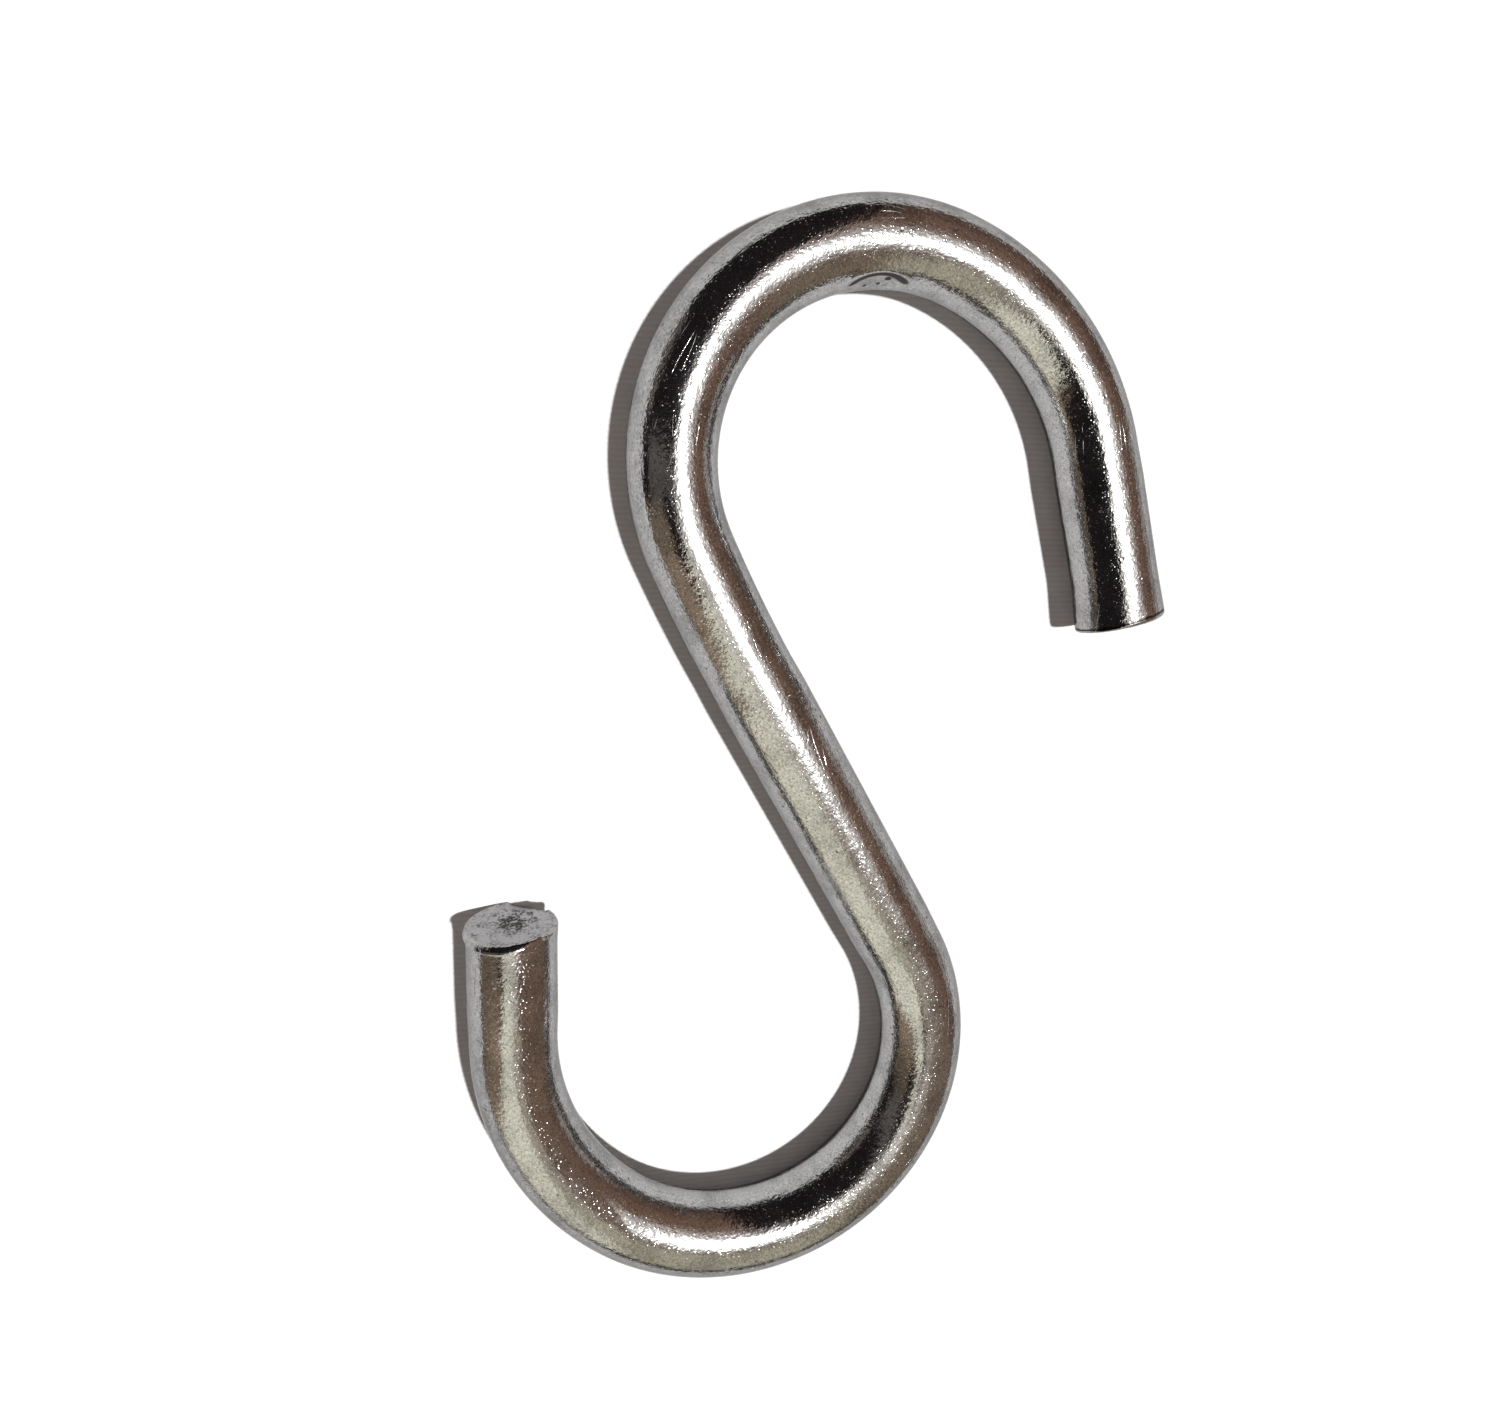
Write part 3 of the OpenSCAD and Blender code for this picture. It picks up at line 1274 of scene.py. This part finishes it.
@dataclass(frozen=True)
class Window:
    """A round soft light in the roof of the tent.

    Args:
        azimuth: Direction of its middle from +X, in degrees.
        elevation: Height of its middle over the horizon, in degrees.
        radius: Half its width, in degrees.
        colour: How bright it is in red, green and blue.
        soft: Width of its soft edge, in degrees.
    """

    azimuth: float
    elevation: float
    radius: float
    colour: tuple[float, float, float]
    soft: float = 8.0

    def mask(self, nodes: Nodes, direction: bpy.types.NodeSocket) -> bpy.types.NodeSocket:
        """Where the window is seen, as a value from 0 to 1.

        Args:
            nodes: The tent material's nodes.
            direction: Unit vector from the middle of the floor.

        Returns:
            The mask.
        """
        a, e = radians(self.azimuth), radians(self.elevation)
        dot = nodes.add("VectorMath", operation="DOT_PRODUCT")
        nodes.join(direction, dot.inputs[0])
        dot.inputs[1].default_value = (cos(a) * cos(e), sin(a) * cos(e), sin(e))
        away = nodes.maths("ARCCOSINE", nodes.maths("MINIMUM", dot.outputs["Value"], 1.0))
        edge, half = radians(self.radius), radians(self.soft) / 2
        return nodes.ramp(away, edge - half, edge + half, 1.0, 0.0)


@dataclass(frozen=True)
class Tent:
    """The studio tent: a dome whose panels give the plating something to reflect.

    Args:
        radius: Radius of the dome, in metres.
        backing: How bright its cloth is in red, green and blue.
        parts: The panels and windows, each laid over those before it.
    """

    radius: float = 1.6
    backing: tuple[float, float, float] = (0.33, 0.2, 0.145)
    parts: tuple[Panel | Window, ...] = (
        # Warm roof.
        Panel(-5.0, 90.0, 49.0, 95.0, (0.52, 0.38, 0.32), 20.0, 16.0),
        # Brown wall on the right.
        Panel(0.0, 75.0, 5.0, 24.0, (0.22, 0.14, 0.105), 14.0, 10.0),
        # Brown wall at the lower right.
        Panel(-48.0, 22.0, -5.0, 80.0, (0.36, 0.27, 0.2), 16.0, 10.0),
        # Pale walls below the hook.
        Panel(278.0, 19.0, 6.0, 60.0, (0.8, 0.74, 0.57), 12.0, 12.0),
        Panel(242.0, 19.0, 6.0, 74.0, (1.42, 1.38, 1.14), 7.0, 12.0),
        # Brown walls at the lower left.
        Panel(215.0, 9.0, -5.0, 42.0, (0.5, 0.37, 0.265), 5.0, 14.0),
        Panel(200.0, 9.0, -5.0, 50.0, (0.3, 0.23, 0.165), 4.0, 12.0),
        # Black walls at the upper left.
        Panel(132.0, 60.0, -5.0, 60.0, (0.026, 0.021, 0.022), 5.0, 4.0),
        Panel(145.0, 73.0, 47.0, 83.0, (0.026, 0.021, 0.022), 5.0, 6.0),
        # Grey gap in the black on the left.
        Panel(181.0, 11.0, 20.0, 82.0, (0.2, 0.18, 0.17), 10.0, 10.0),
        # Low strips of light and shade.
        Panel(150.0, 14.0, 4.0, 15.0, (0.29, 0.25, 0.22), 6.0, 5.0),
        Panel(-2.0, 14.0, 4.0, 14.0, (0.68, 0.62, 0.57), 6.0, 5.0),
        Panel(280.0, 26.0, 2.0, 11.0, (0.14, 0.125, 0.1), 8.0, 4.0),
        Panel(0.0, 181.0, -5.0, 3.0, (0.07, 0.06, 0.055), 2.0, 2.0),
        # Lights in the roof.
        Window(262.0, 77.0, 13.0, (1.2, 1.14, 1.02), 8.0),
        Window(2.0, 71.0, 19.5, (1.35, 1.26, 1.2), 22.0),
        Window(-8.0, 76.5, 12.5, (4.2, 4.15, 4.05), 9.0),
    )

    def build(self) -> bpy.types.Object:
        """Makes the dome and hides it from the camera and from soft light.

        Returns:
            The dome.
        """
        bpy.ops.mesh.primitive_uv_sphere_add(segments=48, ring_count=24, radius=self.radius)
        dome = bpy.context.active_object
        dome.name = "studio_tent"
        bpy.ops.object.mode_set(mode="EDIT")
        bpy.ops.mesh.select_all(action="SELECT")
        bpy.ops.mesh.bisect(
            plane_co=(0.0, 0.0, -0.001), plane_no=(0.0, 0.0, 1.0), clear_inner=True
        )
        bpy.ops.mesh.select_all(action="SELECT")
        bpy.ops.mesh.flip_normals()
        bpy.ops.object.mode_set(mode="OBJECT")
        dome.data.materials.append(self._material())
        dome.visible_camera = False
        dome.visible_diffuse = False
        dome.visible_shadow = False
        return dome

    def _material(self) -> bpy.types.Material:
        """Makes the tent's cloth: its backing, with each panel and window laid over it in turn.

        Returns:
            The material.
        """
        material = bpy.data.materials.new("tent_cloth")
        material.use_nodes = True
        tree = material.node_tree
        tree.nodes.clear()
        nodes = Nodes(tree)
        place = nodes.add("TexCoord")
        unit = nodes.add("VectorMath", operation="NORMALIZE")
        nodes.join(place.outputs["Object"], unit.inputs[0])
        colour: object = (*self.backing, 1.0)
        for part in self.parts:
            colour = nodes.mix(part.mask(nodes, unit.outputs[0]), colour, (*part.colour, 1.0))
        glow = nodes.add("Emission")
        nodes.join(colour, glow.inputs["Color"])
        out = nodes.add("OutputMaterial")
        nodes.join(glow.outputs[0], out.inputs["Surface"])
        material.cycles.emission_sampling = "NONE"
        return material


@dataclass(frozen=True)
class Flag:
    """An upright card beside the hook that takes light off one side of it, seen only in gloss.

    Args:
        name: Name of the card.
        x: Where it stands, in metres.
        y: Its two ends, in metres.
        z: Its lower and upper edge, in metres.
        colour: How bright it is in red, green and blue.
        faces: 1 if it faces +X, and -1 if it faces the other way.
    """

    name: str
    x: float
    y: tuple[float, float]
    z: tuple[float, float]
    colour: tuple[float, float, float]
    faces: float = 1.0

    def build(self) -> bpy.types.Object:
        """Makes the card, hidden from the camera and clear from behind.

        Returns:
            The card.
        """
        bpy.ops.mesh.primitive_plane_add(size=1.0)
        card = bpy.context.active_object
        card.name = self.name
        bpy.ops.object.mode_set(mode="EDIT")
        bpy.ops.mesh.select_all(action="SELECT")
        bpy.ops.transform.rotate(value=radians(90.0), orient_axis="Y", center_override=(0, 0, 0))
        size = (1.0, self.y[1] - self.y[0], self.z[1] - self.z[0])
        bpy.ops.transform.resize(value=size, center_override=(0, 0, 0))
        middle = (self.x, sum(self.y) / 2, sum(self.z) / 2)
        bpy.ops.transform.translate(value=middle)
        bpy.ops.object.mode_set(mode="OBJECT")
        if card.data.polygons[0].normal.x * self.faces < 0.0:
            card.data.flip_normals()
        card.data.materials.append(self._material())
        card.visible_camera = False
        card.visible_diffuse = False
        card.visible_shadow = False
        card.visible_transmission = False
        return card

    def _material(self) -> bpy.types.Material:
        """Makes the card's finish: plain cloth in front, clear from behind.

        Returns:
            The material.
        """
        material = bpy.data.materials.new(self.name)
        material.use_nodes = True
        material.node_tree.nodes.clear()
        nodes = Nodes(material.node_tree)
        glow = nodes.add("Emission")
        glow.inputs["Color"].default_value = (*self.colour, 1.0)
        clear = nodes.add("BsdfTransparent")
        side = nodes.add("NewGeometry")
        blend = nodes.add("MixShader")
        nodes.join(side.outputs["Backfacing"], blend.inputs[0])
        nodes.join(glow.outputs[0], blend.inputs[1])
        nodes.join(clear.outputs[0], blend.inputs[2])
        out = nodes.add("OutputMaterial")
        nodes.join(blend.outputs[0], out.inputs["Surface"])
        material.cycles.emission_sampling = "NONE"
        return material


# The three cards stand close to the hook, where its surroundings differ from one end to the other.
BLACK_FLAG = Flag(
    "black_flag", 14 * MM, (-20 * MM, 28 * MM), (8.5 * MM, 120 * MM), (0.026, 0.021, 0.022)
)
BROWN_FLAG = Flag(
    "brown_flag", 7 * MM, (-45 * MM, -8 * MM), (17 * MM, 120 * MM), (0.27, 0.215, 0.18)
)
WARM_FLAG = Flag(
    "warm_flag", -18 * MM, (-46 * MM, -6 * MM), (11 * MM, 60 * MM), (0.32, 0.21, 0.15), faces=-1.0
)


@dataclass(frozen=True)
class Floor:
    """The plain pale floor that the hook lies on.

    Args:
        half: Half its width, in metres.
        colour: Colour between its ribs.
        light: Colour of its ribs.
        rib: Distance from rib to rib, in metres.
        waviness: How much the ribs waver.
        matt: How rough it is.
    """

    half: float = 1.8
    colour: tuple[float, float, float, float] = (0.895, 0.895, 0.895, 1.0)
    light: tuple[float, float, float, float] = (0.99, 0.99, 0.99, 1.0)
    rib: float = 0.5 * MM
    waviness: float = 1.2
    matt: float = 0.9

    def build(self) -> bpy.types.Object:
        """Makes the floor at height 0.

        Returns:
            The floor.
        """
        bpy.ops.mesh.primitive_plane_add(size=2 * self.half, location=(0.0, 0.0, 0.0))
        floor = bpy.context.active_object
        floor.name = "pale_floor"
        material = bpy.data.materials.new("pale_floor")
        material.use_nodes = True
        nodes = Nodes(material.node_tree)
        shader = material.node_tree.nodes["Principled BSDF"]
        place = nodes.add("TexCoord")
        ribs = nodes.add("TexWave", "fine ribs", wave_type="BANDS", bands_direction="Y")
        nodes.join(place.outputs["Object"], ribs.inputs["Vector"])
        ribs.inputs["Scale"].default_value = 2 * pi / (20 * self.rib)
        ribs.inputs["Distortion"].default_value = self.waviness
        ribs.inputs["Detail Scale"].default_value = 1.5
        tone = nodes.mix(ribs.outputs["Fac"], self.colour, self.light)
        nodes.join(tone, shader.inputs["Base Color"])
        shader.inputs["Roughness"].default_value = self.matt
        shader.inputs["Specular IOR Level"].default_value = 0.0
        floor.data.materials.append(material)
        return floor


@dataclass(frozen=True)
class Studio:
    """The lamp, the soft fill and the camera.

    Args:
        lamp_azimuth: Direction of the lamp from +X, in degrees.
        lamp_elevation: Its height over the horizon, in degrees.
        lamp_angle: Its apparent width, in degrees.
        lamp_strength: Its strength.
        fill: Colour of the soft fill.
        fill_strength: Strength of the soft fill.
        lens: The camera's focal length, in millimetres.
        sensor: Width of its sensor, in millimetres.
        eye: Where it stands, in metres.
        right: Direction of the picture's right side.
        down: Direction of its lower side.
        ahead: Direction that the camera looks in.
    """

    lamp_azimuth: float = -9.0
    lamp_elevation: float = 77.0
    lamp_angle: float = 3.0
    lamp_strength: float = 3.2
    fill: tuple[float, float, float, float] = (1.0, 0.83, 0.77, 1.0)
    fill_strength: float = 0.155
    lens: float = 28.82
    sensor: float = 36.0
    eye: tuple[float, float, float] = (-34.655 * MM, 25.046 * MM, 106.105 * MM)
    right: tuple[float, float, float] = (0.96743, 0.01881, 0.25243)
    down: tuple[float, float, float] = (-0.02735, -0.98363, 0.17813)
    ahead: tuple[float, float, float] = (0.25165, -0.17923, -0.95108)

    def light(self) -> None:
        """Adds the lamp and the world."""
        lamp = bpy.data.lights.new("key_lamp", "SUN")
        lamp.energy = self.lamp_strength
        lamp.angle = radians(self.lamp_angle)
        key = bpy.data.objects.new("key_lamp", lamp)
        bpy.context.scene.collection.objects.link(key)
        a, e = radians(self.lamp_azimuth), radians(self.lamp_elevation)
        towards = Vector((cos(a) * cos(e), sin(a) * cos(e), sin(e)))
        key.rotation_mode = "QUATERNION"
        key.rotation_quaternion = towards.to_track_quat("Z", "Y")
        key.location = towards * 0.5
        world = bpy.data.worlds.new("studio")
        bpy.context.scene.world = world
        world.use_nodes = True
        world.node_tree.nodes.clear()
        nodes = Nodes(world.node_tree)
        path = nodes.add("LightPath")
        seen = nodes.maths(
            "MAXIMUM",
            nodes.maths("MAXIMUM", path.outputs["Is Camera Ray"], path.outputs["Is Glossy Ray"]),
            path.outputs["Is Transmission Ray"],
        )
        fill = nodes.add("Background", "soft fill")
        fill.inputs["Color"].default_value = self.fill
        fill.inputs["Strength"].default_value = self.fill_strength
        white = nodes.add("Background", "white backdrop")
        white.inputs["Color"].default_value = (1.0, 1.0, 1.0, 1.0)
        white.inputs["Strength"].default_value = 1.0
        blend = nodes.add("MixShader")
        nodes.join(seen, blend.inputs[0])
        nodes.join(fill.outputs[0], blend.inputs[1])
        nodes.join(white.outputs[0], blend.inputs[2])
        out = nodes.add("OutputWorld")
        nodes.join(blend.outputs[0], out.inputs["Surface"])

    def aim(self) -> None:
        """Adds the camera where the photograph was taken from."""
        data = bpy.data.cameras.new("camera")
        data.sensor_fit = "HORIZONTAL"
        data.sensor_width = self.sensor
        data.lens = self.lens
        data.clip_start = 0.005
        data.clip_end = 20.0
        camera = bpy.data.objects.new("camera", data)
        bpy.context.scene.collection.objects.link(camera)
        turn = Matrix((self.right, [-v for v in self.down], [-v for v in self.ahead])).transposed()
        camera.matrix_world = Matrix.Translation(self.eye) @ turn.to_4x4()
        bpy.context.scene.camera = camera


def main() -> None:
    """Sets up the camera, builds the hook, then its floor, its tent and its light."""
    logging.basicConfig(level=logging.INFO, format="%(name)s: %(message)s")
    studio = Studio()
    studio.aim()
    LOG.info("camera: lens %.2f mm", studio.lens)
    bpy.ops.object.select_all(action="DESELECT")
    hook = BarHook().build()
    hook.data.materials.append(ZincPlate().build(Effects.make()))
    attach(hook, "root")
    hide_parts("s_hook")
    LOG.info("hook_bar: %d points, %d faces", len(hook.data.vertices), len(hook.data.polygons))
    Floor().build()
    Tent().build()
    for flag in (BLACK_FLAG, BROWN_FLAG, WARM_FLAG):
        flag.build()
    LOG.info("floor, tent and three flags: in place")
    studio.light()
    LOG.info("key_lamp and soft fill: in place")
    bpy.context.scene.view_settings.view_transform = "Standard"


if __name__ == "__main__":
    main()
